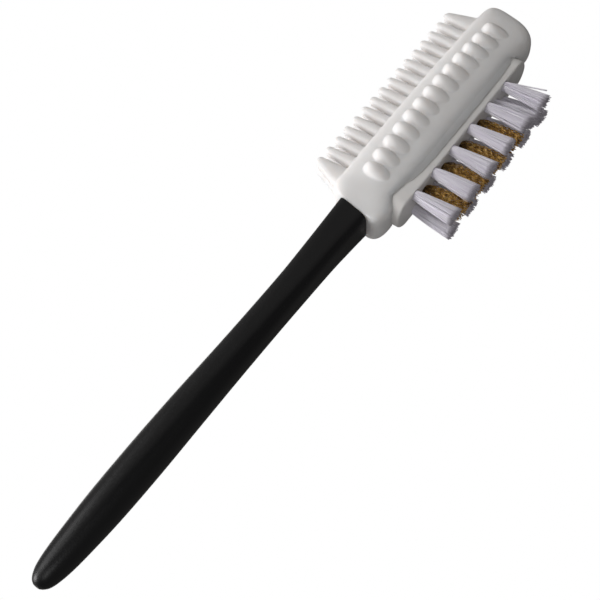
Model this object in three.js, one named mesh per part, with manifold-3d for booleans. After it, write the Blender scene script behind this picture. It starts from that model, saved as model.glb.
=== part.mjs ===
// Long-handled cleaning brush: a plastic handle, a rubber-covered head with
// fingers on top and knobs along both sides, and bristle tufts underneath.
// Millimetres. +X runs from the handle to the free end of the head, +Z is up,
// and the origin is the middle of the bristle field, on the plane of its tips.
import * as THREE from 'three';
import { mergeVertices } from 'three/addons/utils/BufferGeometryUtils.js';
import Module from 'manifold-3d';

const wasm = await Module();
wasm.setup();

// ---- driving dimensions ----
const AXIS_Z = 29.8;            // height of the handle and head axis
const GAP = 0.3;                // clearance between neighbouring pieces

const HANDLE_END_X = -199.6;    // free end of the handle
const JOINT_X = -44.8;          // where the handle meets the head
const HEAD_END_X = 60.6;        // free end of the head

const HEAD_HALF_HEIGHT = 11.7;
const HEAD_HALF_WIDTH = 9.2;    // at the middle of the head
const HEAD_END_HALF_WIDTH = 7.2;
const HEAD_MIDDLE_X = 7.5;
const HEAD_BOW_HALF_LENGTH = 43;
const SHOULDER_LENGTH = 10;     // handle end: the head grows to full height over this
const NOSE_LENGTH = 12;         // free end: the head rounds off over this
const HEAD_SQUARENESS = 3;      // exponent of the superellipse section above the axis
const HEAD_FOOT_SQUARENESS = 4.5; // and below the axis, where the walls run down to the skirt
const JOINT_SQUARENESS = 6;
const SHOULDER_POWER_UP = 2.4;  // how blunt the shoulder and the nose are, above the axis,
const NOSE_POWER_UP = 5;
const SHOULDER_POWER_DOWN = 3.2; // below it,
const NOSE_POWER_DOWN = 2.2;
const SHOULDER_POWER_SIDE = 2;  // and to the sides
const NOSE_POWER_SIDE = 2.4;
const END_LEAN = 0.2;           // both ends of the head lean, millimetres per millimetre of height

const JOINT_HALF_WIDTH = 6.1;
const JOINT_HALF_HEIGHT = 5.8;

const RUBBER_WALL = 2.1;

const SKIRT_HALF_WIDTH = 5.9;
const SKIRT_START_X = -39.4;
const SKIRT_END_X = 43.6;
const SKIRT_BOTTOM_Z = 15.9;
const SKIRT_ROOT_Z = 23;        // how far the skirt reaches up into the core

const TANG_HALF_WIDTH = 3.6;
const TANG_HALF_HEIGHT = 3.2;
const TANG_END_X = -16;
const TANG_CORNER = 1.2;
const TANG_OVERLAP = 2;         // how far the tang starts inside the handle

const CUT_PAST = 2;             // how far a cutting shape runs past the surface it opens

const FINGER_ROWS_Y = [-2.1, 2.1];
const FINGER_COLUMNS = 16;
const FINGER_START_X = -33.2;
const FINGER_PITCH = 5.37;
const FINGER_TOP_Z = 52.1;
const FINGER_ROOT_Z = 38.6;
const FINGER_THICKNESS = 3.2;
const FINGER_FOOT = 2.2;        // half-length of a finger at its root
const FINGER_WAIST = 1.35;      // half-length where a finger's flank turns steeper
const FINGER_WAIST_Z = 44.4;
const FINGER_TIP = 0.8;         // half-length of a finger at its tip
const FIRST_FINGER_FOOT = 7.2;    // the first finger's slope towards the handle
const LAST_FINGER_FOOT = 6;     // the last finger's slope towards the free end

const KNOB_COUNT = 13;
const KNOB_START_X = -30;
const KNOB_PITCH = 6.3;
const KNOB_Z = 31.9;
const KNOB_ROW_SAG = 1.2;       // how much lower the row's ends are than its middle
const KNOB_HALF_LENGTH = 2.9;
const KNOB_HALF_HEIGHT = 4.2;
const KNOB_RISE = 2.6;
const KNOB_ROOT = 1.2;          // how deep a knob is sunk into the wall
const KNOB_SHOULDER = 0.78;     // where its dome turns in: share of the foot,
const KNOB_SHOULDER_RISE = 0.7; // and share of the rise

const TUFT_COLUMNS = 6;         // pairs of outer tufts; one middle tuft fewer, between the pairs
const BRASS_COLUMNS = 4;        // middle tufts of brass, counted from the handle; the rest are nylon
const TUFT_PITCH = 11.45;
const TUFT_ROW_Y = 3.8;
const TUFT_ROOT_RADIUS = 1.5;
const TUFT_TIP_RADIUS = 2.9;
const TUFT_TOP_Z = 22.6;
const TUFT_SIDES = 12;
const HOLE_RADIUS = TUFT_ROOT_RADIUS + GAP;
const HOLE_TOP_Z = TUFT_TOP_Z + GAP;

const ANCHOR_LENGTH = 3.3;
const ANCHOR_THICKNESS = 0.45;
const ANCHOR_BOTTOM_Z = 19.4;
const ANCHOR_TOP_Z = 21.4;
const ANCHOR_GAP = 0.2;
const ANCHOR_SLOT_LENGTH = 4.5; // its slot through a tuft is open at both ends

const HANDLE_LEAN_SHARE = 0.12; // the last stretch of the handle, where its sections start to lean

const RING_POINTS = 28;

// ---- materials ----
const material = (color, roughness, metalness = 0) =>
  new THREE.MeshStandardMaterial({ color, roughness, metalness });

const blackPlastic = () => material(0x101114, 0.42);
const whiteRubber = () => material(0xd9d7d8, 0.55);
const whitePlastic = () => material(0xcfcbc6, 0.5);
const nylon = () => material(0xd6d0e0, 0.6);
const brassWire = () => material(0x9a6a2c, 0.38, 0.9);
const steelWire = () => material(0xa9a9ac, 0.35, 0.9);

// ---- solids ----
function toSolid(geometry) {
  const bare = geometry.index ? geometry.toNonIndexed() : geometry.clone();
  bare.deleteAttribute('normal');
  bare.deleteAttribute('uv');
  const merged = mergeVertices(bare, 1e-4);
  return new wasm.Manifold(new wasm.Mesh({
    numProp: 3,
    vertProperties: new Float32Array(merged.attributes.position.array),
    triVerts: new Uint32Array(merged.index.array),
  }));
}

function toGeometry(solid) {
  const mesh = solid.getMesh();
  const geometry = new THREE.BufferGeometry();
  geometry.setAttribute('position', new THREE.BufferAttribute(mesh.vertProperties, mesh.numProp));
  geometry.setIndex(new THREE.BufferAttribute(mesh.triVerts, 1));
  const faceted = geometry.toNonIndexed();
  faceted.computeVertexNormals();
  return faceted;
}

function moved(geometry, x, y, z) {
  geometry.translate(x, y, z);
  return geometry;
}

// A skin over rings that follow each other along +X, closed by flat ends.
function skin(rings) {
  const count = rings[0].length;
  const positions = [];
  const index = [];
  for (const ring of rings) {
    for (const p of ring) positions.push(p.x, p.y, p.z);
  }
  for (let i = 0; i < rings.length - 1; i++) {
    for (let j = 0; j < count; j++) {
      const a = i * count + j;
      const b = i * count + (j + 1) % count;
      index.push(a, b, a + count);
      index.push(b, b + count, a + count);
    }
  }
  const last = (rings.length - 1) * count;
  const start = positions.length / 3;
  for (const ring of [rings[0], rings[rings.length - 1]]) {
    const centre = new THREE.Vector3();
    for (const p of ring) centre.addScaledVector(p, 1 / count);
    positions.push(centre.x, centre.y, centre.z);
  }
  for (let j = 0; j < count; j++) {
    const next = (j + 1) % count;
    index.push(start, next, j);
    index.push(start + 1, last + j, last + next);
  }
  const geometry = new THREE.BufferGeometry();
  geometry.setAttribute('position', new THREE.Float32BufferAttribute(positions, 3));
  geometry.setIndex(index);
  return geometry;
}

// A superellipse across the X axis: exponent 2 is an ellipse, 6 almost a box.
function sectionRing(x, centreZ, halfWidth, halfHeight, upperExponent, lowerExponent = upperExponent) {
  const ring = [];
  for (let i = 0; i < RING_POINTS; i++) {
    const angle = (2 * Math.PI * (i + 0.5)) / RING_POINTS;
    const c = Math.cos(angle);
    const s = Math.sin(angle);
    const exponent = s > 0 ? upperExponent : lowerExponent;
    const power = Math.abs(c) ** exponent + Math.abs(s) ** exponent;
    const radius = power ** (-1 / exponent);
    ring.push(new THREE.Vector3(x, halfWidth * radius * c, centreZ + halfHeight * radius * s));
  }
  return ring;
}

function leaned(ring, lean) {
  for (const p of ring) p.x += lean * (p.z - AXIS_Z);
  return ring;
}

const smooth = (t) => t * t * (3 - 2 * t);
const clamp01 = (t) => Math.min(1, Math.max(0, t));

// A round-over that goes from 0 at t = 0 to 1 at t = 1, steep at first.
const roundOver = (t, power) => (1 - (1 - clamp01(t)) ** power) ** (1 / power);

// ---- head shape, shared by the rubber, its cavity and the core ----
function headHalfWidth(x) {
  const u = (x - HEAD_MIDDLE_X) / HEAD_BOW_HALF_LENGTH;
  const bowed = HEAD_HALF_WIDTH - (HEAD_HALF_WIDTH - HEAD_END_HALF_WIDTH) * u * u;
  const shoulder = roundOver((x - JOINT_X) / SHOULDER_LENGTH, SHOULDER_POWER_SIDE);
  const nose = roundOver((HEAD_END_X - x) / NOSE_LENGTH, NOSE_POWER_SIDE);
  return (JOINT_HALF_WIDTH + (bowed - JOINT_HALF_WIDTH) * shoulder) * nose;
}

// How far the head reaches from the axis, upwards or downwards: the powers set
// how blunt the shoulder and the nose are there.
function headReach(x, shoulderPower, nosePower) {
  const shoulder = roundOver((x - JOINT_X) / SHOULDER_LENGTH, shoulderPower);
  const nose = roundOver((HEAD_END_X - x) / NOSE_LENGTH, nosePower);
  return (JOINT_HALF_HEIGHT + (HEAD_HALF_HEIGHT - JOINT_HALF_HEIGHT) * shoulder) * nose;
}

const headReachUp = (x) => headReach(x, SHOULDER_POWER_UP, NOSE_POWER_UP);
const headReachDown = (x) => headReach(x, SHOULDER_POWER_DOWN, NOSE_POWER_DOWN);

// How far a point of the head shifts along X for each millimetre above the axis.
function headLean(x) {
  const nearJoint = 1 - clamp01((x - JOINT_X) / SHOULDER_LENGTH);
  const nearNose = 1 - clamp01((HEAD_END_X - x) / NOSE_LENGTH);
  return END_LEAN * (nearJoint + nearNose);
}

function headSolid(inset) {
  const shoulderSteps = [0, 0.06, 0.16, 0.3, 0.5, 0.75, 1];
  const noseSteps = [1, 0.75, 0.5, 0.3, 0.16, 0.07, 0.02];
  const middleSteps = [0.25, 0.5, 0.75];
  const flatStart = JOINT_X + SHOULDER_LENGTH;
  const flatEnd = HEAD_END_X - NOSE_LENGTH;
  const stations = [
    ...shoulderSteps.map((t) => JOINT_X + t * SHOULDER_LENGTH),
    ...middleSteps.map((t) => flatStart + t * (flatEnd - flatStart)),
    ...noseSteps.map((t) => HEAD_END_X - t * NOSE_LENGTH),
  ];
  const shrink = (HEAD_END_X - JOINT_X - 2 * inset) / (HEAD_END_X - JOINT_X);
  const rings = stations.map((x) => {
    const share = smooth(clamp01((x - JOINT_X) / SHOULDER_LENGTH));
    const upper = JOINT_SQUARENESS + (HEAD_SQUARENESS - JOINT_SQUARENESS) * share;
    const lower = JOINT_SQUARENESS + (HEAD_FOOT_SQUARENESS - JOINT_SQUARENESS) * share;
    const halfWidth = Math.max(0.6, headHalfWidth(x) - inset);
    const halfHeight = Math.max(0.8, (headReachUp(x) + headReachDown(x)) / 2 - inset);
    const centreZ = AXIS_Z + (headReachUp(x) - headReachDown(x)) / 2;
    const ringX = JOINT_X + inset + (x - JOINT_X) * shrink;
    return leaned(sectionRing(ringX, centreZ, halfWidth, halfHeight, upper, lower), headLean(x));
  });
  return toSolid(skin(rings));
}

// ---- bristle skirt: a bar with round ends that shows below the rubber ----
function skirtSolid(grow, bottomZ, topZ) {
  const radius = SKIRT_HALF_WIDTH + grow;
  const shape = new THREE.Shape();
  const left = SKIRT_START_X + SKIRT_HALF_WIDTH;
  const right = SKIRT_END_X - SKIRT_HALF_WIDTH;
  shape.absarc(right, 0, radius, -Math.PI / 2, Math.PI / 2, false);
  shape.absarc(left, 0, radius, Math.PI / 2, (3 * Math.PI) / 2, false);
  const bar = new THREE.ExtrudeGeometry(shape, {
    depth: topZ - bottomZ, bevelEnabled: false, curveSegments: 10,
  });
  return toSolid(moved(bar, 0, 0, bottomZ));
}

// ---- handle ----
// Stations from the free end to the joint: share of the length, half-width,
// half-height, height of the centre over AXIS_Z, and squareness.
const HANDLE_STATIONS = [
  [0.000, 1.5, 1.2, 1.4, 2.0],
  [0.004, 2.5, 2.1, 1.4, 2.0],
  [0.013, 3.6, 3.1, 1.3, 2.1],
  [0.030, 4.6, 4.0, 1.3, 2.1],
  [0.060, 5.3, 4.7, 1.2, 2.2],
  [0.110, 6.0, 5.3, 1.1, 2.2],
  [0.190, 6.7, 5.9, 1.0, 2.2],
  [0.300, 6.8, 6.1, 0.9, 2.3],
  [0.430, 6.5, 5.9, 0.8, 2.5],
  [0.560, 6.0, 5.5, 0.5, 2.8],
  [0.690, 5.7, 5.2, 0.2, 3.4],
  [0.790, 5.6, 5.1, 0.0, 4.2],
  [0.880, 5.7, 5.3, 0.0, 5.0],
  [0.950, 5.9, 5.7, -0.1, 5.6],
  [1.000, 6.2, 6.0, -0.2, 6.0],
];

function handleSolid() {
  const faceX = JOINT_X - GAP;
  const length = faceX - HANDLE_END_X;
  const rings = HANDLE_STATIONS.map(([share, halfWidth, halfHeight, rise, exponent]) => {
    const x = HANDLE_END_X + share * length;
    const lean = END_LEAN * clamp01(1 - (1 - share) / HANDLE_LEAN_SHARE);
    return leaned(sectionRing(x, AXIS_Z + rise, halfWidth, halfHeight, exponent), lean);
  });
  return toSolid(skin(rings)).add(tangSolid(0, faceX - TANG_OVERLAP, TANG_END_X));
}

function tangSolid(grow, startX, endX) {
  const w = TANG_HALF_WIDTH + grow;
  const h = TANG_HALF_HEIGHT + grow;
  const c = TANG_CORNER;
  const corners = [[w, -h + c], [w, h - c], [w - c, h], [-w + c, h], [-w, h - c], [-w, -h + c],
    [-w + c, -h], [w - c, -h]];
  const ring = (x) => corners.map(([y, z]) => new THREE.Vector3(x, y, AXIS_Z + z));
  return toSolid(skin([ring(startX), ring(endX)]));
}

// ---- rubber sleeve ----
// One finger: a tapered tooth with a round tip, extruded across the head.
function fingerSolid(x, y, footBefore, footAfter) {
  const tipZ = FINGER_TOP_Z - FINGER_TIP;
  const shape = new THREE.Shape();
  shape.moveTo(x - footBefore, FINGER_ROOT_Z);
  shape.lineTo(x + footAfter, FINGER_ROOT_Z);
  if (footAfter === FINGER_FOOT) shape.lineTo(x + FINGER_WAIST, FINGER_WAIST_Z);
  shape.lineTo(x + FINGER_TIP, tipZ);
  shape.absarc(x, tipZ, FINGER_TIP, 0, Math.PI, false);
  if (footBefore === FINGER_FOOT) shape.lineTo(x - FINGER_WAIST, FINGER_WAIST_Z);
  shape.closePath();
  const tooth = new THREE.ExtrudeGeometry(shape, {
    depth: FINGER_THICKNESS, bevelEnabled: false, curveSegments: 3,
  });
  tooth.rotateX(Math.PI / 2);
  return toSolid(moved(tooth, 0, y + FINGER_THICKNESS / 2, 0));
}

// One knob: a low dome with an oval foot, pointing out along side * Y.
function knobSolid(x, side) {
  const profile = [
    new THREE.Vector2(0, -KNOB_ROOT),
    new THREE.Vector2(1, -KNOB_ROOT),
    new THREE.Vector2(KNOB_SHOULDER, KNOB_RISE * KNOB_SHOULDER_RISE),
    new THREE.Vector2(0, KNOB_RISE),
  ];
  const dome = new THREE.LatheGeometry(profile, 10);
  dome.scale(KNOB_HALF_LENGTH, 1, KNOB_HALF_HEIGHT);
  if (side < 0) dome.rotateX(Math.PI);
  const u = (x - HEAD_MIDDLE_X) / HEAD_BOW_HALF_LENGTH;
  return toSolid(moved(dome, x, side * headHalfWidth(x), KNOB_Z - KNOB_ROW_SAG * u * u));
}

function sleeveSolid() {
  let sleeve = headSolid(0);
  for (let column = 0; column < FINGER_COLUMNS; column++) {
    const x = FINGER_START_X + column * FINGER_PITCH;
    const before = column === 0 ? FIRST_FINGER_FOOT : FINGER_FOOT;
    const after = column === FINGER_COLUMNS - 1 ? LAST_FINGER_FOOT : FINGER_FOOT;
    for (const y of FINGER_ROWS_Y) sleeve = sleeve.add(fingerSolid(x, y, before, after));
  }
  for (let i = 0; i < KNOB_COUNT; i++) {
    const x = KNOB_START_X + i * KNOB_PITCH;
    for (const side of [-1, 1]) sleeve = sleeve.add(knobSolid(x, side));
  }
  return sleeve
    .subtract(headSolid(RUBBER_WALL))
    .subtract(skirtSolid(GAP, SKIRT_BOTTOM_Z - CUT_PAST, SKIRT_ROOT_Z))
    .subtract(tangSolid(GAP, JOINT_X - CUT_PAST, TANG_END_X));
}

// ---- tufts and their anchors ----
function tuftPlaces() {
  const places = [];
  for (let i = 0; i < TUFT_COLUMNS; i++) {
    const x = (i - (TUFT_COLUMNS - 1) / 2) * TUFT_PITCH;
    places.push({ name: `nylon_tuft_front_${i + 1}`, kind: 'nylon', x, y: -TUFT_ROW_Y });
    places.push({ name: `nylon_tuft_back_${i + 1}`, kind: 'nylon', x, y: TUFT_ROW_Y });
  }
  for (let i = 0; i < TUFT_COLUMNS - 1; i++) {
    const x = (i - (TUFT_COLUMNS - 2) / 2) * TUFT_PITCH;
    const kind = i < BRASS_COLUMNS ? 'brass' : 'nylon';
    const name = kind === 'brass' ? `brass_tuft_${i + 1}` : 'nylon_tuft_middle';
    places.push({ name, kind, x, y: 0 });
  }
  return places;
}

function anchorSolid(place, length, grow) {
  const height = ANCHOR_TOP_Z - ANCHOR_BOTTOM_Z + 2 * grow;
  const plate = new THREE.BoxGeometry(length, ANCHOR_THICKNESS + 2 * grow, height);
  return toSolid(moved(plate, place.x, place.y, (ANCHOR_TOP_Z + ANCHOR_BOTTOM_Z) / 2));
}

// A tuft runs up its hole as a round bundle and opens out below the skirt.
function tuftSolid(place) {
  const profile = [
    new THREE.Vector2(0, 0),
    new THREE.Vector2(TUFT_TIP_RADIUS, 0),
    new THREE.Vector2(TUFT_ROOT_RADIUS, SKIRT_BOTTOM_Z - GAP),
    new THREE.Vector2(TUFT_ROOT_RADIUS, TUFT_TOP_Z),
    new THREE.Vector2(0, TUFT_TOP_Z),
  ];
  const bundle = new THREE.LatheGeometry(profile, TUFT_SIDES);
  bundle.rotateX(Math.PI / 2);
  const solid = toSolid(moved(bundle, place.x, place.y, 0));
  return solid.subtract(anchorSolid(place, ANCHOR_SLOT_LENGTH, ANCHOR_GAP));
}

function holeSolid(place) {
  const depth = HOLE_TOP_Z - SKIRT_BOTTOM_Z + CUT_PAST;
  const hole = new THREE.CylinderGeometry(HOLE_RADIUS, HOLE_RADIUS, depth, TUFT_SIDES);
  hole.rotateX(Math.PI / 2);
  return toSolid(moved(hole, place.x, place.y, HOLE_TOP_Z - depth / 2));
}

// ---- core ----
function coreSolid(places) {
  let core = headSolid(RUBBER_WALL + GAP)
    .add(skirtSolid(0, SKIRT_BOTTOM_Z, SKIRT_ROOT_Z))
    .subtract(tangSolid(GAP, JOINT_X - CUT_PAST, TANG_END_X + GAP));
  for (const place of places) core = core.subtract(holeSolid(place));
  return core;
}

// ---- assembly ----
const brush = new THREE.Group();

function addPiece(name, solid, finish) {
  const mesh = new THREE.Mesh(toGeometry(solid), finish);
  mesh.name = name;
  brush.add(mesh);
}

const places = tuftPlaces();
addPiece('handle', handleSolid(), blackPlastic());
addPiece('bristle_block', coreSolid(places), whitePlastic());
addPiece('rubber_sleeve', sleeveSolid(), whiteRubber());
for (const place of places) {
  addPiece(place.name, tuftSolid(place), place.kind === 'brass' ? brassWire() : nylon());
}
for (const place of places) {
  addPiece(`anchor_${place.name}`, anchorSolid(place, ANCHOR_LENGTH, 0), steelWire());
}

export default brush;
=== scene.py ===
"""Looks of the long-handled cleaning brush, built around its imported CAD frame.

Shapes are worked out in millimetres in the CAD frame (+X towards the free end of the
head, +Z from the bristle tips to the rubber fingers) and scaled to metres once, in
make_mesh(). Lengths are in millimetres wherever a comment doesn't say otherwise.
"""

import math
import random

import bpy
from mathutils import Matrix, Vector


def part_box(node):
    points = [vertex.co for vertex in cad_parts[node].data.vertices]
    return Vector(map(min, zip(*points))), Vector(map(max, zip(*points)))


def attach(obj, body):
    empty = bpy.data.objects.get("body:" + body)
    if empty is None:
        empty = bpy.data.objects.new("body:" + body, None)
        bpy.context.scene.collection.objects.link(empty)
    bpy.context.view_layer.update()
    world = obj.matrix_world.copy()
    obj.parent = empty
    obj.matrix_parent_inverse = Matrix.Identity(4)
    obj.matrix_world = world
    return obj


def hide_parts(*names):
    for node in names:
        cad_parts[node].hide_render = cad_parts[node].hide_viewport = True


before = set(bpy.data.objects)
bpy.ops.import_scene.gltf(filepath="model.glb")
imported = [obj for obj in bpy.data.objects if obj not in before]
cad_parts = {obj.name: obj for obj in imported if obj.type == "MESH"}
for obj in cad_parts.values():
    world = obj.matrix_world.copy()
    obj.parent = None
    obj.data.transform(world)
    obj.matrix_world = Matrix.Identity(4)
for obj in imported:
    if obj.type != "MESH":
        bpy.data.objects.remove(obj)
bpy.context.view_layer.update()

MM = 0.001


def box_mm(node):
    """The low and high corners of a CAD node's box, in millimetres."""
    low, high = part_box(node)
    return low / MM, high / MM


# ---- places read from the frame ----
HANDLE_START_X = box_mm("handle")[0].x
SKIRT_BOTTOM_Z = box_mm("bristle_block")[0].z

# ---- head ----
AXIS_Z = 29.8
JOINT_X = -44.8
HEAD_END_X = 60.6
HEAD_HALF_HEIGHT = 11.7
HEAD_HALF_WIDTH = 9.2
HEAD_END_HALF_WIDTH = 7.2
HEAD_MIDDLE_X = 7.5
HEAD_BOW_HALF_LENGTH = 43
JOINT_HALF_WIDTH = 6.1
JOINT_HALF_HEIGHT = 5.8
SHOULDER_LENGTH = 10
NOSE_LENGTH = 12
END_LEAN = 0.2
RUBBER_WALL = 2.1
GAP = 0.3

# Sections along the head, and how strongly they crowd towards its two ends.
SHOULDER_SECTIONS = 15
MIDDLE_SECTIONS = 24
NOSE_SECTIONS = 19
SHOULDER_CROWDING = 1.8
NOSE_CROWDING = 1.9
SMALLEST_HALF_WIDTH = 0.3
SMALLEST_HALF_HEIGHT = 0.4

# Squareness of a section: 2 is an ellipse, and more is closer to a box.
HEAD_SQUARENESS = 3
HEAD_FOOT_SQUARENESS = 3.1
JOINT_SQUARENESS = 6

# Powers of the rounded ends (shoulder, nose), seen from above and along the top and bottom.
SIDE_POWERS = (2, 2.4)
TOP_POWERS = (2.4, 5)
BOTTOM_POWERS = (3.2, 2.2)

# ---- skirt, lip and tang ----
SKIRT_HALF_WIDTH = 5.9
SKIRT_START_X = -39.4
SKIRT_END_X = 43.6
SKIRT_ROOT_Z = 23
SKIRT_END_POINTS = 25
LIP_Z = 17.8
LIP_GAP = 0.15
LIP_END_INSET = 3
LIP_POINTS = 41
LIP_FADE = 1.15
LIP_LEAST_SHARE = 0.1

# Height, growth past the skirt's outline.
LIP_ROWS = ((LIP_Z, 0.28), (LIP_Z + 0.25, 0.42), (19.0, 0.82), (20.0, 1.27), (21.0, 1.5))
TANG_HALF_WIDTH = 3.6
TANG_HALF_HEIGHT = 3.2
TANG_END_X = -16
TANG_CHAMFER = 0.6

# How far a cutter runs on past the surface that it opens.
CUT_PAST = 3

# ---- fingers ----
FINGER_ROWS_Y = (-2.1, 2.1)
FINGER_COLUMNS = 16
FINGER_START_X = -33.2
FINGER_PITCH = 5.37
FINGER_FOOT = 2.3
FIRST_FINGER_FOOT = 7.2
LAST_FINGER_FOOT = 6.0
FINGER_WAIST = 1.42

# Height, share of the waist kept, share of the foot's further reach, half-width.
FINGER_LEVELS = (
    (38.0, 1, 1.0, 1.85),
    (41.2, 1, 0.82, 1.83),
    (44.0, 1, 0.62, 1.8),
    (47.0, 1, 0.4, 1.75),
    (49.6, 1, 0.2, 1.66),
    (51.0, 1, 0.1, 1.5),
    (51.8, 0.84, 0, 1.2),
    (52.25, 0.5, 0, 0.7),
)

# ---- knobs ----
KNOB_COUNT = 13
KNOB_START_X = -30
KNOB_PITCH = 6.3
KNOB_Z = 31.9
KNOB_ROW_SAG = 1.2

# Distance out of the wall, half-length, half-height, lift.
KNOB_LEVELS = (
    (-1.6, 3.15, 5.4, -1.0),
    (-0.3, 3.05, 5.1, -0.9),
    (0.6, 2.8, 4.2, -0.1),
    (1.5, 2.25, 3.0, 0.7),
    (2.25, 1.4, 1.8, 1.25),
    (2.7, 0.5, 0.7, 1.5),
)

# The fingers and knobs are melted into the sleeve by a voxel remesh.
SLEEVE_VOXEL = 0.27
SLEEVE_SMOOTHING = 5

# ---- handle: share of its length, half-width, half-height, rise above the axis, squareness ----
HANDLE_STATIONS = (
    (0.000, 1.5, 1.2, 1.4, 2.0),
    (0.004, 2.5, 2.1, 1.4, 2.0),
    (0.013, 3.6, 3.1, 1.3, 2.1),
    (0.030, 4.6, 4.0, 1.3, 2.1),
    (0.060, 5.3, 4.7, 1.2, 2.2),
    (0.110, 6.0, 5.3, 1.1, 2.2),
    (0.190, 6.7, 5.9, 1.0, 2.2),
    (0.300, 6.8, 6.1, 0.9, 2.3),
    (0.430, 6.5, 5.9, 0.8, 2.5),
    (0.560, 6.0, 5.5, 0.5, 2.8),
    (0.690, 5.7, 5.2, 0.2, 3.4),
    (0.790, 5.6, 5.1, 0.0, 4.2),
    (0.880, 5.7, 5.3, 0.0, 5.0),
    (0.950, 5.9, 5.7, -0.1, 5.6),
    (1.000, 6.2, 6.0, -0.2, 6.0),
)
HANDLE_RING_POINTS = 72
HANDLE_TIP_LENGTH = 0.05
HANDLE_TIP_SCALES = (0.2, 0.6, 0.85)
HANDLE_TIP_SHARE = 0.03
HANDLE_TIP_SECTIONS = 16
HANDLE_SECTIONS = 80
HANDLE_LEAN_SHARE = 0.12
HANDLE_EDGE_INSETS = (0.25, 0.6)

# ---- tufts and their holes ----
HOLE_RADIUS = 1.98
HOLE_MOUTH_RADIUS = 2.2
HOLE_TOP_Z = 22.8
TUFT_TOP_Z = 21.9
TUFT_NECK_Z = 19.0
GOLDEN_ANGLE = 2.39996
ROOT_SHAKE = 0.12

# A tuft parts over this length around its anchor, and its two halves are pressed flatter.
PARTING_LENGTH = 4
ANCHOR_CLEAR = 0.42
ANCHOR_SQUEEZE = 0.68

# Spreads say how many times wider the tuft is at the tips than at the root, along X and Y.
NYLON_SEED = 100
NYLON_COUNT = 140
NYLON_RADIUS = 0.13
NYLON_TUFT_RADIUS = 1.78
NYLON_STEPS = 7
NYLON_SPREAD_X = (1.95, 2.2)
NYLON_SPREAD_Y = (1.25, 1.5)
NYLON_TIPS_Z = (-0.1, 0.55)
NYLON_FAN = 0.85
SHORT_SHARE = 0.12
SHORT_BY = 0.5
END_TUFT_X = 28.6
END_TUFT_SPLAY = 0.6
MIDDLE_TUFT_SPREAD = 1.25

BRASS_SEED = 400
BRASS_COUNT = 84
BRASS_RADIUS = 0.125
BRASS_TUFT_RADIUS = 1.75
BRASS_STEPS = 30
BRASS_SPREAD_X = (2.5, 3.0)
BRASS_SPREAD_Y = (0.9, 1.2)
BRASS_TIPS_Z = (0.0, 0.9)
BRASS_FLARE = 0.3
BRASS_MOUTH_RISE = 0.6
CRIMP_HEIGHT = 0.3
CRIMP_PITCH = (2.5, 2.8)
CRIMP_TURN = (-0.5, 0.5)
FREE_LENGTH = 16

# The crimp has its full height after this share of the free length, and none at the root.
CRIMP_RISE_SHARE = 1 / 6

STRAY_NODE = "nylon_tuft_front_6"
STRAY_ROOT = (1.6, -0.5)
STRAY_REACH = (3.9, -0.4, -13.4)
STRAY_CURVE = 0.97
STRAY_RADIUS = 0.26
STRAY_STEPS = 8

# ---- camera: where the photographer stood, seen from the object (angles, metres, lens in mm) ----
VIEW_AZIMUTH = math.radians(25)
VIEW_BELOW = math.radians(22)
VIEW_DISTANCE = 0.399
VIEW_DROP = -0.0042
VIEW_AIM = Vector((-0.0806, 0, AXIS_Z * MM))
AXIS_ON_SCREEN = math.radians(50.27)
LENS = 75.42

# ---- studio: strength of the even fill from below and from above, and the floor in mm ----
FILL_BELOW = 0.11
FILL_ABOVE = 0.34
FLOOR_HALF_SIZE = 15000
FLOOR_Z = -750


# =========================================================== camera and light
def view_axes():
    """The object axis as seen (u), its square direction down the picture (v), and forward."""
    a, b = VIEW_AZIMUTH, VIEW_BELOW
    u = Vector((math.cos(a), -math.cos(b) * math.sin(a), -math.sin(b) * math.sin(a)))
    v = Vector((0, math.sin(b), -math.cos(b)))
    forward = Vector((math.sin(a), math.cos(b) * math.cos(a), math.sin(b) * math.cos(a)))
    return u, v, forward


def make_camera():
    """The camera at the photographer's place, turned so that the handle runs as in the photo."""
    u, v, forward = view_axes()
    position = VIEW_AIM - VIEW_DROP * v - VIEW_DISTANCE * forward
    c, s = math.cos(AXIS_ON_SCREEN), math.sin(AXIS_ON_SCREEN)
    right = c * u + s * v
    down = -s * u + c * v
    rotation = Matrix((right, -down, -forward)).transposed().to_4x4()
    data = bpy.data.cameras.new("camera")
    data.lens = LENS
    data.sensor_width = 36
    data.clip_start = 0.01
    data.clip_end = 20
    camera = bpy.data.objects.new("camera", data)
    camera.matrix_world = Matrix.Translation(position) @ rotation
    bpy.context.scene.collection.objects.link(camera)
    bpy.context.scene.camera = camera


def make_light(name, direction, distance, size, power, tint=(1, 1, 1)):
    """A square area light that faces the head, with direction running from the head to it."""
    data = bpy.data.lights.new(name, "AREA")
    data.size = size
    data.energy = power
    data.color = tint
    light = bpy.data.objects.new(name, data)
    centre = Vector((0, 0, AXIS_Z * MM))
    direction = Vector(direction).normalized()
    light.location = centre + direction * distance
    light.rotation_mode = "QUATERNION"
    light.rotation_quaternion = direction.to_track_quat("Z", "Y")
    bpy.context.scene.collection.objects.link(light)


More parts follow.
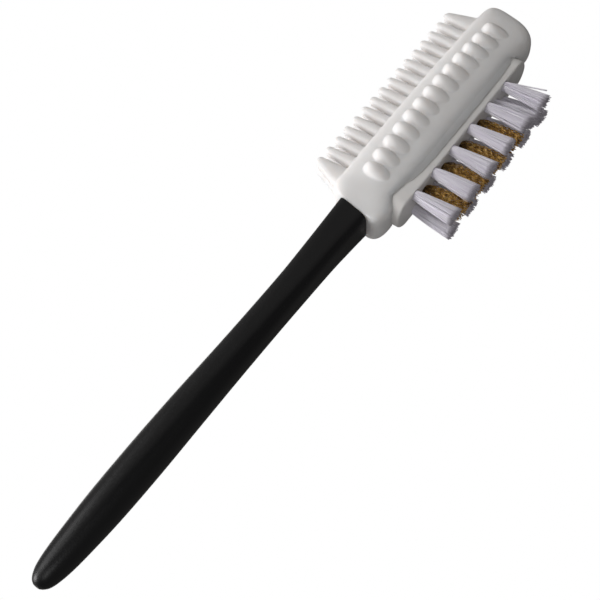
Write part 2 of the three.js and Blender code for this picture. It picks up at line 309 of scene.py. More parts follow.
def make_world():
    """White where the camera looks past the object, and a softer even fill on the object."""
    world = bpy.data.worlds.new("studio")
    bpy.context.scene.world = world
    world.use_nodes = True
    nodes, links = world.node_tree.nodes, world.node_tree.links
    nodes.clear()
    fill = nodes.new("ShaderNodeBackground")
    fill.inputs["Color"].default_value = (1.0, 0.965, 0.93, 1)
    place = nodes.new("ShaderNodeTexCoord")
    split = nodes.new("ShaderNodeSeparateXYZ")
    fall = nodes.new("ShaderNodeMapRange")
    fall.inputs["From Min"].default_value = -0.7
    fall.inputs["From Max"].default_value = 0.7
    fall.inputs["To Min"].default_value = FILL_BELOW
    fall.inputs["To Max"].default_value = FILL_ABOVE
    links.new(place.outputs["Generated"], split.inputs[0])
    links.new(split.outputs["Z"], fall.inputs["Value"])
    links.new(fall.outputs[0], fill.inputs["Strength"])
    white = nodes.new("ShaderNodeBackground")
    white.inputs["Color"].default_value = (1, 1, 1, 1)
    white.inputs["Strength"].default_value = 1.0
    path = nodes.new("ShaderNodeLightPath")
    mix = nodes.new("ShaderNodeMixShader")
    out = nodes.new("ShaderNodeOutputWorld")
    links.new(path.outputs["Is Camera Ray"], mix.inputs["Fac"])
    links.new(fill.outputs[0], mix.inputs[1])
    links.new(white.outputs[0], mix.inputs[2])
    links.new(mix.outputs[0], out.inputs["Surface"])


make_camera()
make_world()
make_light("key", (-0.78, -0.1, 0.62), distance=1.6, size=0.8, power=17.5, tint=(1.0, 0.99, 1.0))
make_light("front", (-0.3, -0.7, 0.65), distance=1.6, size=0.9, power=9.0)
make_light("tuft_side", (-0.6, -0.7, -0.38), distance=1.0, size=0.5, power=1.7)
make_light("back", (0.1, 0.8, 0.6), distance=0.9, size=0.5, power=1.2)
bpy.context.scene.view_settings.view_transform = "Standard"


# =========================================================== node helpers
class Shader:
    """A Principled material with a few procedural helpers."""

    def __init__(self, name):
        self.material = bpy.data.materials.new(name)
        self.material.use_nodes = True
        self.tree = self.material.node_tree
        self.tree.nodes.clear()
        self.bsdf = self.node("ShaderNodeBsdfPrincipled")
        out = self.node("ShaderNodeOutputMaterial")
        self.surface = out.inputs["Surface"]
        self.link(self.bsdf.outputs[0], self.surface)
        coordinates = self.node("ShaderNodeTexCoord")
        self.object_space = coordinates.outputs["Object"]

    def node(self, kind, **settings):
        made = self.tree.nodes.new(kind)
        for key, value in settings.items():
            setattr(made, key, value)
        return made

    def link(self, a, b):
        self.tree.links.new(a, b)

    def set(self, **values):
        """Sets constants on the Principled sockets, named with _ for each space."""
        for key, value in values.items():
            self.bsdf.inputs[key.replace("_", " ")].default_value = value

    def stretched(self, scale):
        """Object coordinates scaled along each axis: under 1 draws a pattern out."""
        mapping = self.node("ShaderNodeMapping")
        mapping.inputs["Scale"].default_value = scale
        self.link(self.object_space, mapping.inputs["Vector"])
        return mapping.outputs[0]

    def noise(self, scale, detail=4.0, rough=0.55, stretch=(1, 1, 1)):
        made = self.node("ShaderNodeTexNoise")
        made.inputs["Scale"].default_value = scale
        made.inputs["Detail"].default_value = detail
        made.inputs["Roughness"].default_value = rough
        self.link(self.stretched(stretch), made.inputs["Vector"])
        return made.outputs["Fac"]

    def ramp(self, source, stops):
        """Colours along source, from stops of (place, colour)."""
        made = self.node("ShaderNodeValToRGB")
        ramp = made.color_ramp
        while len(ramp.elements) < len(stops):
            ramp.elements.new(0.5)
        for element, (place, colour) in zip(ramp.elements, stops):
            element.position = place
            element.color = (*colour, 1)
        self.link(source, made.inputs["Fac"])
        return made.outputs["Color"]

    def range(self, source, low, high):
        """Spreads the middle half of a noise between low and high."""
        made = self.node("ShaderNodeMapRange")
        made.inputs["From Min"].default_value = 0.25
        made.inputs["From Max"].default_value = 0.75
        made.inputs["To Min"].default_value = low
        made.inputs["To Max"].default_value = high
        self.link(source, made.inputs["Value"])
        return made.outputs[0]

    def height(self, low, high):
        """0 below the height low, 1 above the height high, both in metres."""
        place = self.node("ShaderNodeSeparateXYZ")
        self.link(self.object_space, place.inputs[0])
        made = self.node("ShaderNodeMapRange")
        made.inputs["From Min"].default_value = low
        made.inputs["From Max"].default_value = high
        self.link(place.outputs["Z"], made.inputs["Value"])
        return made.outputs[0]

    def blend(self, factor, first, second):
        made = self.node("ShaderNodeMix", data_type="RGBA")
        self.link(factor, made.inputs["Factor"])
        self.link(first, made.inputs["A"])
        self.link(second, made.inputs["B"])
        return made.outputs["Result"]

    def colour(self, source):
        self.link(source, self.bsdf.inputs["Base Color"])

    def roughness(self, source):
        self.link(source, self.bsdf.inputs["Roughness"])

    def bump(self, *layers):
        """Layers of (height, depth in metres), one on top of the other."""
        normal = None
        for height, distance in layers:
            made = self.node("ShaderNodeBump")
            made.inputs["Strength"].default_value = 1.0
            made.inputs["Distance"].default_value = distance
            self.link(height, made.inputs["Height"])
            if normal:
                self.link(normal, made.inputs["Normal"])
            normal = made.outputs[0]
        self.link(normal, self.bsdf.inputs["Normal"])


def rubber_material():
    """Milky white soft rubber: faint clouding, a fine moulded grain, light handling dirt."""
    s = Shader("milky_white_rubber")
    cloud = s.noise(60, 3)
    grain = s.noise(5200, 2)
    dust = s.noise(900, 5, 0.65)
    clean = s.ramp(cloud, [(0.3, (0.83, 0.80, 0.785)), (0.7, (0.895, 0.87, 0.855))])
    dusty = s.ramp(cloud, [(0.3, (0.73, 0.70, 0.67)), (0.7, (0.79, 0.765, 0.745))])
    spots = s.ramp(dust, [(0.66, (0, 0, 0)), (0.8, (0.6, 0.6, 0.6))])
    s.colour(s.blend(spots, clean, dusty))
    s.roughness(s.range(dust, 0.5, 0.62))
    s.bump((grain, 0.00003), (cloud, 0.00025))
    s.set(Subsurface_Weight=0.75, Subsurface_Radius=(0.004, 0.0037, 0.0035), Subsurface_Scale=1.5,
          IOR=1.45, Specular_IOR_Level=0.42)
    return s.material


def core_material():
    """Off-white polypropylene with a faint flow pattern along the head."""
    s = Shader("off_white_polypropylene")
    flow = s.noise(120, 4, 0.5, (0.25, 1, 1))
    grain = s.noise(3800, 3)
    s.colour(s.ramp(flow, [(0.3, (0.75, 0.735, 0.72)), (0.7, (0.83, 0.815, 0.80))]))
    s.roughness(s.range(grain, 0.4, 0.52))
    s.bump((grain, 0.00002), (flow, 0.0001))
    s.set(Subsurface_Weight=0.08, Subsurface_Radius=(0.003, 0.0026, 0.0022), Subsurface_Scale=0.5)
    return s.material


def handle_material():
    """Satin black plastic: drawn-out mould flow, a fine grain and a few light rub marks."""
    s = Shader("satin_black_plastic")
    flow = s.noise(90, 4, 0.5, (0.12, 1, 1))
    grain = s.noise(4200, 3, 0.6)
    rubs = s.noise(700, 6, 0.7, (0.15, 1, 1))
    base = s.ramp(flow, [(0.3, (0.0026, 0.0027, 0.0031)), (0.7, (0.0046, 0.0048, 0.0055))])
    pale = s.ramp(flow, [(0.3, (0.012, 0.0125, 0.0145)), (0.7, (0.018, 0.019, 0.022))])
    worn = s.ramp(rubs, [(0.66, (0, 0, 0)), (0.8, (0.55, 0.55, 0.55))])
    s.colour(s.blend(worn, base, pale))
    s.roughness(s.range(rubs, 0.3, 0.42))
    s.bump((grain, 0.000028), (flow, 0.00012))
    s.set(IOR=1.48, Specular_IOR_Level=0.38)
    return s.material


def nylon_material():
    """Pale nylon filament with a lilac cast, with painted shade darkening it towards the trimmed
    tips.
    """
    s = Shader("lilac_nylon_filament")
    strand = s.noise(1500, 3, 0.5, (1, 1, 0.05))
    speck = s.noise(2600, 3, 0.6, (1, 1, 0.25))
    above_tips = s.height(-0.0004, 0.0019)
    clear = s.ramp(strand, [(0.3, (0.80, 0.765, 0.86)), (0.7, (0.94, 0.92, 0.97))])
    # Painted shade: the filaments turn much darker within about two millimetres of their tips.
    tip_shade = s.ramp(strand, [(0.3, (0.20, 0.17, 0.21)), (0.7, (0.52, 0.48, 0.54))])
    s.colour(s.blend(above_tips, tip_shade, clear))
    s.roughness(s.range(speck, 0.3, 0.48))
    s.bump((speck, 0.00002))
    s.set(IOR=1.53, Specular_IOR_Level=0.4)
    return s.material


def brass_material():
    """Tarnished brass wire in blotches of brown and gold, with painted shade darkening it near the
    root.
    """
    s = Shader("tarnished_brass_wire")
    tarnish = s.noise(820, 4, 0.6)
    drawn = s.noise(3600, 2, 0.5, (1, 1, 0.2))
    near_root = s.height(0.0105, 0.017)
    bright = s.ramp(tarnish, [(0.36, (0.09, 0.045, 0.015)), (0.5, (0.46, 0.25, 0.06)),
                              (0.62, (0.92, 0.60, 0.20))])
    # Painted shade: the wires turn darker towards their roots, under the head.
    root_shade = s.ramp(tarnish, [(0.3, (0.03, 0.016, 0.006)), (0.55, (0.09, 0.05, 0.016)),
                             (0.75, (0.40, 0.24, 0.07))])
    s.colour(s.blend(near_root, bright, root_shade))
    s.roughness(s.range(tarnish, 0.46, 0.27))
    s.bump((drawn, 0.000015))
    s.set(Metallic=0.7)
    return s.material


def anchor_material():
    """Flat drawn anchor wire: fine lengthwise scratches."""
    s = Shader("drawn_anchor_wire")
    scratch = s.noise(2600, 4, 0.6, (0.06, 1, 1))
    s.colour(s.ramp(scratch, [(0.3, (0.42, 0.42, 0.44)), (0.7, (0.66, 0.66, 0.68))]))
    s.roughness(s.range(scratch, 0.28, 0.42))
    s.bump((scratch, 0.00002))
    s.set(Metallic=0.95)
    return s.material


def floor_material():
    """Pale where the camera sees it, and darker for the light that bounces off it."""
    s = Shader("pale_floor")
    mottling = s.noise(3, 3)
    s.colour(s.ramp(mottling, [(0.3, (0.16, 0.16, 0.16)), (0.7, (0.19, 0.19, 0.19))]))
    s.set(Roughness=0.8)
    glow = s.node("ShaderNodeEmission")
    glow.inputs["Color"].default_value = (0.8, 0.8, 0.8, 1)
    path = s.node("ShaderNodeLightPath")
    share = s.node("ShaderNodeMixShader")
    s.link(path.outputs["Is Camera Ray"], share.inputs["Fac"])
    s.link(s.bsdf.outputs[0], share.inputs[1])
    s.link(glow.outputs[0], share.inputs[2])
    s.link(share.outputs[0], s.surface)
    return s.material


RUBBER = rubber_material()
CORE = core_material()
HANDLE = handle_material()
NYLON = nylon_material()
BRASS = brass_material()
ANCHOR = anchor_material()


# =========================================================== mesh helpers
def make_mesh(name, points_mm, faces, material, smooth=True):
    """A new mesh object from points in millimetres."""
    mesh = bpy.data.meshes.new(name)
    mesh.from_pydata([(x * MM, y * MM, z * MM) for x, y, z in points_mm], [], faces)
    mesh.materials.append(material)
    if smooth:
        mesh.polygons.foreach_set("use_smooth", [True] * len(mesh.polygons))
    mesh.update()
    piece = bpy.data.objects.new(name, mesh)
    bpy.context.scene.collection.objects.link(piece)
    return piece


def skin(rings):
    """Points and faces of a closed skin over equal rings, with flat ends."""
    count = len(rings[0])
    points = [p for ring in rings for p in ring]
    faces = []
    for i in range(len(rings) - 1):
        for j in range(count):
            a, b = i * count + j, i * count + (j + 1) % count
            faces.append((a, b, b + count, a + count))
    faces.append(tuple(range(count))[::-1])
    last = (len(rings) - 1) * count
    faces.append(tuple(range(last, last + count)))
    return points, faces


def superellipse(points, upper, lower=None):
    """Unit superellipse as (c, s) pairs, evenly spread in angle, with its own squareness
    above and below the middle."""
    out = []
    for i in range(points):
        angle = 2 * math.pi * (i + 0.5) / points
        c, s = math.cos(angle), math.sin(angle)
        exponent = upper if s > 0 or lower is None else lower
        radius = (abs(c) ** exponent + abs(s) ** exponent) ** (-1 / exponent)
        out.append((radius * c, radius * s))
    return out


def join(pieces, name):
    """Joins mesh objects into the first one, which takes the name."""
    for p in bpy.context.selected_objects:
        p.select_set(False)
    for p in pieces:
        p.select_set(True)
    bpy.context.view_layer.objects.active = pieces[0]
    bpy.ops.object.join()
    joined = pieces[0]
    joined.name = name
    joined.data.name = name
    joined.select_set(False)
    return joined


def apply_modifiers(piece):
    """Bakes the modifiers of piece into its mesh."""
    depsgraph = bpy.context.evaluated_depsgraph_get()
    made = bpy.data.meshes.new_from_object(piece.evaluated_get(depsgraph), depsgraph=depsgraph)
    old = piece.data
    piece.modifiers.clear()
    piece.data = made
    made.name = old.name
    bpy.data.meshes.remove(old)


def combine(piece, other, operation):
    """Applies a boolean with other to piece, and removes other."""
    modifier = piece.modifiers.new("combine", "BOOLEAN")
    modifier.operation = operation
    modifier.solver = "EXACT"
    modifier.object = other
    apply_modifiers(piece)
    bpy.data.objects.remove(other)


def cut(piece, tool):
    combine(piece, tool, "DIFFERENCE")


def add(piece, other):
    combine(piece, other, "UNION")


def declare(piece, node):
    """Hangs the piece under the root body and hides the CAD node that it stands for."""
    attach(piece, "root")
    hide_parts(node)


def remesh(piece, voxel_mm, smoothing):
    """Rebuilds piece as one closed skin of even small faces, and softens it."""
    modifier = piece.modifiers.new("remesh", "REMESH")
    modifier.mode = "VOXEL"
    modifier.voxel_size = voxel_mm * MM
    modifier.use_smooth_shade = True
    soften = piece.modifiers.new("soften", "SMOOTH")
    soften.factor = 0.5
    soften.iterations = smoothing
    apply_modifiers(piece)
    piece.data.polygons.foreach_set("use_smooth", [True] * len(piece.data.polygons))


# =========================================================== head shape
def clamp01(t):
    return min(1.0, max(0.0, t))


def round_over(t, power):
    """Rises from 0 to 1 as a rounded end does: 2 is a quarter circle, and more is blunter."""
    return (1 - (1 - clamp01(t)) ** power) ** (1 / power)


def bow(x):
    """0 in the middle of the head's bowed sides, and 1 at their ends."""
    return ((x - HEAD_MIDDLE_X) / HEAD_BOW_HALF_LENGTH) ** 2


def head_reach(x, at_joint, at_middle, powers):
    """How far the head's skin stands off its axis at x, between its rounded ends."""
    shoulder = round_over((x - JOINT_X) / SHOULDER_LENGTH, powers[0])
    nose = round_over((HEAD_END_X - x) / NOSE_LENGTH, powers[1])
    return (at_joint + (at_middle - at_joint) * shoulder) * nose


def head_half_width(x):
    bowed = HEAD_HALF_WIDTH - (HEAD_HALF_WIDTH - HEAD_END_HALF_WIDTH) * bow(x)
    return head_reach(x, JOINT_HALF_WIDTH, bowed, SIDE_POWERS)


def head_lean(x):
    """Slope of the section at x: both ends of the head lean the same way."""
    near_joint = 1 - clamp01((x - JOINT_X) / SHOULDER_LENGTH)
    near_nose = 1 - clamp01((HEAD_END_X - x) / NOSE_LENGTH)
    return END_LEAN * (near_joint + near_nose)


def head_stations():
    """Places along X of the head's sections, closer together where its ends turn in."""
    stations = []
    for i in range(SHOULDER_SECTIONS):
        t = i / (SHOULDER_SECTIONS - 1)
        stations.append(JOINT_X + SHOULDER_LENGTH * t ** SHOULDER_CROWDING)
    flat_start, flat_end = JOINT_X + SHOULDER_LENGTH, HEAD_END_X - NOSE_LENGTH
    for i in range(1, MIDDLE_SECTIONS):
        stations.append(flat_start + (flat_end - flat_start) * i / MIDDLE_SECTIONS)
    for i in range(NOSE_SECTIONS):
        # The last one stops just short of the very end, where the section has no size.
        t = i / (NOSE_SECTIONS - 0.94)
        stations.append(HEAD_END_X - NOSE_LENGTH * (1 - t) ** NOSE_CROWDING)
    return stations


def head_rings(inset, ring_points):
    """Fine sections of the head, shrunk by inset on every side."""
    shrink = (HEAD_END_X - JOINT_X - 2 * inset) / (HEAD_END_X - JOINT_X)
    rings = []
    for x in head_stations():
        share = clamp01((x - JOINT_X) / SHOULDER_LENGTH)
        share = share * share * (3 - 2 * share)
        upper = JOINT_SQUARENESS + (HEAD_SQUARENESS - JOINT_SQUARENESS) * share
        lower = JOINT_SQUARENESS + (HEAD_FOOT_SQUARENESS - JOINT_SQUARENESS) * share
        up = head_reach(x, JOINT_HALF_HEIGHT, HEAD_HALF_HEIGHT, TOP_POWERS)
        down = head_reach(x, JOINT_HALF_HEIGHT, HEAD_HALF_HEIGHT, BOTTOM_POWERS)
        half_width = max(SMALLEST_HALF_WIDTH, head_half_width(x) - inset)
        half_height = max(SMALLEST_HALF_HEIGHT, (up + down) / 2 - inset)
        centre = AXIS_Z + (up - down) / 2
        ring_x = JOINT_X + inset + (x - JOINT_X) * shrink
        ring = []
        for c, s in superellipse(ring_points, upper, lower):
            z = centre + half_height * s
            ring.append((ring_x + head_lean(x) * (z - AXIS_Z), half_width * c, z))
        rings.append(ring)
    return rings


def skirt_rings(levels):
    """A bar with round ends, as rings stacked along Z: levels are (z, growth of the outline)."""
    round_ends = (
        (SKIRT_END_X - SKIRT_HALF_WIDTH, -90),
        (SKIRT_START_X + SKIRT_HALF_WIDTH, 90),
    )
    rings = []
    for z, grow in levels:
        radius = SKIRT_HALF_WIDTH + grow
        ring = []
        for centre, start in round_ends:
            for i in range(SKIRT_END_POINTS):
                angle = math.radians(start + 180 * i / (SKIRT_END_POINTS - 1))
                ring.append((centre + radius * math.cos(angle), radius * math.sin(angle), z))
        rings.append(ring)
    return rings


def lip_skin():
    """The rubber's lower lip: the side walls run on down to the skirt, at a steady slope.
    Its growth past the skirt fades towards both ends."""
    length = SKIRT_END_X - SKIRT_START_X - 2 * LIP_END_INSET
    last = LIP_POINTS - 1
    rings = []
    for z, grow in LIP_ROWS:
        ring = []
        for side in (1, -1):
            for i in range(LIP_POINTS):
                t = i / last if side > 0 else 1 - i / last
                x = SKIRT_START_X + LIP_END_INSET + length * t
                end = min(x - SKIRT_START_X, SKIRT_END_X - x) / SKIRT_HALF_WIDTH
                outline = SKIRT_HALF_WIDTH * math.sqrt(1 - (1 - min(1, end)) ** 2)
                share = max(LIP_LEAST_SHARE, 1 - LIP_FADE * bow(x))
                ring.append((x, side * (outline + grow * share), z))
        rings.append(ring[::-1])
    return skin(rings)


def tang_cutter():
    """The room for the handle's tang, open towards the handle."""
    w, h = TANG_HALF_WIDTH + GAP, TANG_HALF_HEIGHT + GAP
    rings = []
    for x in (JOINT_X - CUT_PAST, TANG_END_X + GAP):
        rings.append([(x, w * c, AXIS_Z + h * s) for c, s in superellipse(40, 8)])
    return make_mesh("tang_cutter", *skin(rings), CORE)


# =========================================================== rubber sleeve
def finger(x, y, before, after):
    """One tapered finger, whose foot reaches before and after it along X."""
    rings = []
    for z, waist_share, foot_share, half_width in FINGER_LEVELS:
        low = x - FINGER_WAIST * waist_share - (before - FINGER_WAIST) * foot_share
        high = x + FINGER_WAIST * waist_share + (after - FINGER_WAIST) * foot_share
        middle, half = (low + high) / 2, (high - low) / 2
        rings.append([(middle + half * c, y + half_width * s, z) for c, s in superellipse(20, 3)])
    return skin(rings)


def knob(x, side):
    """One knob: an oval dome leaning a little upwards, standing out of the side wall."""
    wall = head_half_width(x)
    z = KNOB_Z - KNOB_ROW_SAG * bow(x)
    rings = []
    for out, half_length, half_height, lift in KNOB_LEVELS:
        ring = [(x + half_length * c, side * (wall + out), z + lift + half_height * s)
                for c, s in superellipse(24, 2.2)]
        rings.append(ring if side < 0 else ring[::-1])
    return skin(rings)


def make_sleeve():
    """The rubber: a hollow shell with its lip, open below and at the handle, and then its
    fingers and knobs."""
    shell = make_mesh("head_rubber", *skin(head_rings(0, 72)), RUBBER)
    cut(shell, make_mesh("cavity", *skin(head_rings(RUBBER_WALL, 48)), RUBBER))
    add(shell, make_mesh("lip", *lip_skin(), RUBBER))
    opening = skirt_rings(((SKIRT_BOTTOM_Z - CUT_PAST, LIP_GAP), (SKIRT_ROOT_Z, LIP_GAP)))
    cut(shell, make_mesh("skirt_cutter", *skin(opening), RUBBER))
    cut(shell, tang_cutter())
    parts = [shell]
    for column in range(FINGER_COLUMNS):
        x = FINGER_START_X + column * FINGER_PITCH
        before = FIRST_FINGER_FOOT if column == 0 else FINGER_FOOT
        after = LAST_FINGER_FOOT if column == FINGER_COLUMNS - 1 else FINGER_FOOT
        for y in FINGER_ROWS_Y:
            parts.append(make_mesh("finger", *finger(x, y, before, after), RUBBER))
    for i in range(KNOB_COUNT):
        for side in (-1, 1):
            parts.append(make_mesh("knob", *knob(KNOB_START_X + i * KNOB_PITCH, side), RUBBER))
    sleeve = join(parts, "head_rubber")
    remesh(sleeve, SLEEVE_VOXEL, SLEEVE_SMOOTHING)
    declare(sleeve, "rubber_sleeve")


# =========================================================== core
def hole_drill(x, y):
    """A drill for one tuft hole, wider at the mouth."""
    bottom = SKIRT_BOTTOM_Z
    levels = (
        (bottom - 1, HOLE_MOUTH_RADIUS),
        (bottom + 0.02, HOLE_MOUTH_RADIUS),
        (bottom + 0.3, HOLE_RADIUS),
        (HOLE_TOP_Z, HOLE_RADIUS),
    )
    rings = [[(x + r * c, y + r * s, z) for c, s in superellipse(28, 2)] for z, r in levels]
    return make_mesh("drill", *skin(rings), CORE)


def make_core(places):
    """The plastic core, with its skirt's lower edge rounded and a hole at each tuft place."""
    body = make_mesh("head_core", *skin(head_rings(RUBBER_WALL + GAP, 48)), CORE)
    bottom = SKIRT_BOTTOM_Z
    levels = ((bottom, -0.7), (bottom + 0.08, -0.4), (bottom + 0.28, -0.14), (bottom + 0.6, 0),
              (SKIRT_ROOT_Z, 0))
    add(body, make_mesh("skirt", *skin(skirt_rings(levels)), CORE))
    cut(body, tang_cutter())
    drills = [hole_drill(x, y) for x, y in places]
    cut(body, join(drills, "drills"))
    body.data.polygons.foreach_set("use_smooth", [False] * len(body.data.polygons))
    body.data.set_sharp_from_angle(angle=math.radians(32))
    body.data.polygons.foreach_set("use_smooth", [True] * len(body.data.polygons))
    declare(body, "bristle_block")


# =========================================================== handle
def station_at(share):
    """Handle section at a share of its length, by a smooth curve through the stations."""
    last = len(HANDLE_STATIONS) - 1
    k = 0
    while k < last - 1 and HANDLE_STATIONS[k + 1][0] < share:
        k += 1
    four = [HANDLE_STATIONS[min(last, max(0, k + d))] for d in (-1, 0, 1, 2)]
    x0, x1, x2, x3 = (f[0] for f in four)
    t = (share - x1) / (x2 - x1)
    values = []
    for column in range(1, 5):
        p0, p1, p2, p3 = (f[column] for f in four)
        m1 = (p2 - p0) / (x2 - x0) * (x2 - x1) if x2 > x0 else 0
        m2 = (p3 - p1) / (x3 - x1) * (x2 - x1) if x3 > x1 else 0
        a, b = 2 * t ** 3 - 3 * t ** 2 + 1, t ** 3 - 2 * t ** 2 + t
        c, d = -2 * t ** 3 + 3 * t ** 2, t ** 3 - t ** 2
        values.append(a * p1 + b * m1 + c * p2 + d * m2)
    return values


def handle_shares():
    """Places of the handle's sections, as shares of its length, closer together at the tip."""
    tip, rest = HANDLE_TIP_SHARE, 1 - HANDLE_TIP_SHARE
    shares = [tip * (i / HANDLE_TIP_SECTIONS) ** 2 for i in range(HANDLE_TIP_SECTIONS)]
    shares += [tip + rest * i / HANDLE_SECTIONS for i in range(HANDLE_SECTIONS + 1)]
    return shares


def make_handle():
    """One closed skin: the rounded tip, the grip, the shoulder at the head, and the tang."""
    start, end = HANDLE_START_X, JOINT_X - GAP
    rings = []
    half_width, half_height, rise, exponent = HANDLE_STATIONS[0][1:]
    for scale in HANDLE_TIP_SCALES:
        x = start + HANDLE_TIP_LENGTH * scale
        ring = [(x, half_width * scale * c, AXIS_Z + rise + half_height * scale * s)
                for c, s in superellipse(HANDLE_RING_POINTS, exponent)]
        rings.append(ring)
    for share in handle_shares():
        half_width, half_height, rise, exponent = station_at(share)
        lean = END_LEAN * clamp01(1 - (1 - share) / HANDLE_LEAN_SHARE)
        x = start + HANDLE_TIP_LENGTH + share * (end - start - HANDLE_TIP_LENGTH)
        ring = []
        for c, s in superellipse(HANDLE_RING_POINTS, exponent):
            z = AXIS_Z + rise + half_height * s
            ring.append((x + lean * (z - AXIS_Z), half_width * c, z))
        rings.append(ring)
    half_width, half_height, rise, exponent = station_at(1.0)
    for inset in HANDLE_EDGE_INSETS:
        ring = []
        for c, s in superellipse(HANDLE_RING_POINTS, exponent):
            z = AXIS_Z + rise + (half_height - inset) * s
            ring.append((end + 0.1 * inset + END_LEAN * (z - AXIS_Z), (half_width - inset) * c, z))
        rings.append(ring)
    for x, shrink in ((end + 0.07, 0), (TANG_END_X - 0.8, 0), (TANG_END_X, TANG_CHAMFER)):
        w, h = TANG_HALF_WIDTH - shrink, TANG_HALF_HEIGHT - shrink
        section = superellipse(HANDLE_RING_POINTS, 7)
        rings.append([(x, w * c, AXIS_Z + h * s) for c, s in section])
    handle = make_mesh("handle_moulding", *skin(rings), HANDLE)
    handle.data.set_sharp_from_angle(angle=math.radians(48))
    declare(handle, "handle")


# =========================================================== tufts
def tube(points, faces, path, radius, sides):
    """Adds a closed thin tube along path, which runs mostly along Z."""
    start = len(points)
    for x, y, z in path:
        for k in range(sides):
            angle = 2 * math.pi * k / sides
            points.append((x + radius * math.cos(angle), y + radius * math.sin(angle), z))
    for i in range(len(path) - 1):
        for k in range(sides):
            a, b = start + i * sides + k, start + i * sides + (k + 1) % sides
            faces.append((a + sides, b + sides, b, a))
    faces.append(tuple(range(start, start + sides)))
    last = start + (len(path) - 1) * sides
    faces.append(tuple(range(last, last + sides))[::-1])


def spread_roots(count, radius, source):
    """Places in a round hole, by a sunflower pattern with a little shake."""
    out = []
    for i in range(count):
        r = radius * math.sqrt((i + 0.5) / count)
        angle = i * GOLDEN_ANGLE + source.uniform(-ROOT_SHAKE, ROOT_SHAKE)
        out.append((r * math.cos(angle), r * math.sin(angle)))
    return out


def path_in_hole(x, y0, ry, mouth_z):
    """A filament's points inside its hole, where the tuft parts around its anchor."""
    side = -1 if ry < 0 else 1
    parted = side * (ANCHOR_CLEAR + abs(ry) * ANCHOR_SQUEEZE)
    path = []
    for z in (TUFT_TOP_Z, TUFT_NECK_Z, mouth_z):
        blend = clamp01((z - SKIRT_BOTTOM_Z) / PARTING_LENGTH)
        path.append((x, y0 + ry + (parted - ry) * blend, z))
    return path


def stray_path(x0, y0):
    """The one filament that stands off its tuft, towards the free end of the head."""
    x, y = x0 + STRAY_ROOT[0], y0 + STRAY_ROOT[1]
    path = [(x, y, TUFT_NECK_Z), (x, y, SKIRT_BOTTOM_Z)]
    for i in range(1, STRAY_STEPS + 1):
        t = i / STRAY_STEPS
        z = SKIRT_BOTTOM_Z + STRAY_REACH[2] * t ** STRAY_CURVE
        path.append((x + STRAY_REACH[0] * t, y + STRAY_REACH[1] * t, z))
    return path


def make_nylon_tuft(node, x0, y0, seed):
    """Filaments that leave the hole together and fan out, wider along the head."""
    source = random.Random(seed)
    points, faces = [], []
    splay = x0 / END_TUFT_X * END_TUFT_SPLAY
    spread = MIDDLE_TUFT_SPREAD if node == "nylon_tuft_middle" else 1.0
    for rx, ry in spread_roots(NYLON_COUNT, NYLON_TUFT_RADIUS, source):
        tip_x = rx * source.uniform(*NYLON_SPREAD_X) * spread + splay + source.gauss(0, 0.12)
        tip_y = ry * source.uniform(*NYLON_SPREAD_Y) + source.gauss(0, 0.1)
        tip_z = source.uniform(*NYLON_TIPS_Z) + (SHORT_BY if source.random() < SHORT_SHARE else 0)
        bend = source.gauss(0, 0.06)
        path = path_in_hole(x0 + rx, y0, ry, SKIRT_BOTTOM_Z)
        for i in range(1, NYLON_STEPS + 1):
            t = i / NYLON_STEPS
            fan = t ** NYLON_FAN
            x = x0 + rx + (tip_x - rx) * fan + bend * math.sin(math.pi * t)
            y = y0 + ry + (tip_y - ry) * fan
            path.append((x, y, SKIRT_BOTTOM_Z + (tip_z - SKIRT_BOTTOM_Z) * t))
        tube(points, faces, path, NYLON_RADIUS, 6)
    if node == STRAY_NODE:
        tube(points, faces, stray_path(x0, y0), STRAY_RADIUS, 6)
    piece = make_mesh(node.replace("tuft", "filaments"), points, faces, NYLON)
    declare(piece, node)


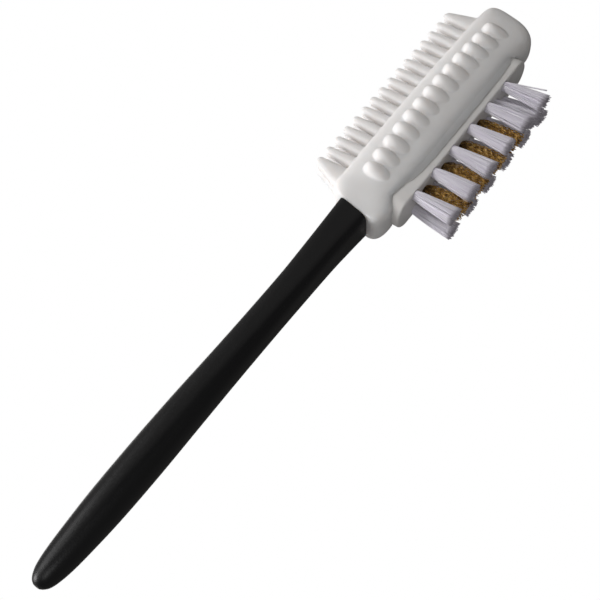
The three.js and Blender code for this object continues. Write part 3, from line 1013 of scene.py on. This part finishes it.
def make_brass_tuft(node, x0, y0, seed):
    """Crimped wires: each has its own wave, phase and tilt."""
    source = random.Random(seed)
    points, faces = [], []
    for rx, ry in spread_roots(BRASS_COUNT, BRASS_TUFT_RADIUS, source):
        tip_x = rx * source.uniform(*BRASS_SPREAD_X) + source.gauss(0, 0.35)
        tip_y = ry * source.uniform(*BRASS_SPREAD_Y) + source.gauss(0, 0.15)
        tip_z = source.uniform(*BRASS_TIPS_Z)
        # Neighbouring wires wave almost in step.
        phase = rx * 2.6 + ry * 1.4 + source.gauss(0, 0.5)
        turn = source.uniform(*CRIMP_TURN)
        waves = FREE_LENGTH / source.uniform(*CRIMP_PITCH)
        path = path_in_hole(x0 + rx, y0, ry, SKIRT_BOTTOM_Z + BRASS_MOUTH_RISE)
        for i in range(1, BRASS_STEPS + 1):
            t = i / BRASS_STEPS
            height = CRIMP_HEIGHT * min(1, t / CRIMP_RISE_SHARE)
            wave = height * math.sin(phase + 2 * math.pi * t * waves)
            flare = t ** BRASS_FLARE
            x = x0 + rx + (tip_x - rx) * flare + wave * math.cos(turn)
            y = y0 + ry + (tip_y - ry) * flare + wave * math.sin(turn)
            path.append((x, y, SKIRT_BOTTOM_Z + (tip_z - SKIRT_BOTTOM_Z) * t))
        tube(points, faces, path, BRASS_RADIUS, 5)
    piece = make_mesh(node.replace("tuft", "filaments"), points, faces, BRASS)
    declare(piece, node)


# =========================================================== build
def make_floor():
    """The pale stage, far enough below for the camera to look up at the brush."""
    corners = ((-1, -1), (1, -1), (1, 1), (-1, 1))
    points = [(x * FLOOR_HALF_SIZE, y * FLOOR_HALF_SIZE, FLOOR_Z) for x, y in corners]
    floor = make_mesh("floor", points, [(0, 1, 2, 3)], floor_material(), smooth=False)


def find_tufts():
    """The middle of each CAD tuft, by node name."""
    places = {}
    for name in sorted(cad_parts):
        if "tuft" in name and not name.startswith("anchor"):
            low, high = box_mm(name)
            places[name] = ((low.x + high.x) / 2, (low.y + high.y) / 2)
    return places


tuft_places = find_tufts()
make_sleeve()
make_core(list(tuft_places.values()))
make_handle()

# Each tuft is seeded by its place in the sorted names, so every run gives the same filaments.
for number, (node_name, (tuft_x, tuft_y)) in enumerate(sorted(tuft_places.items())):
    if node_name.startswith("brass"):
        make_brass_tuft(node_name, tuft_x, tuft_y, BRASS_SEED + number)
    else:
        make_nylon_tuft(node_name, tuft_x, tuft_y, NYLON_SEED + number)

# The CAD anchors stay as they are and only take their material.
for node_name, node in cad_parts.items():
    if node_name.startswith("anchor"):
        node.data.materials.clear()
        node.data.materials.append(ANCHOR)
make_floor()
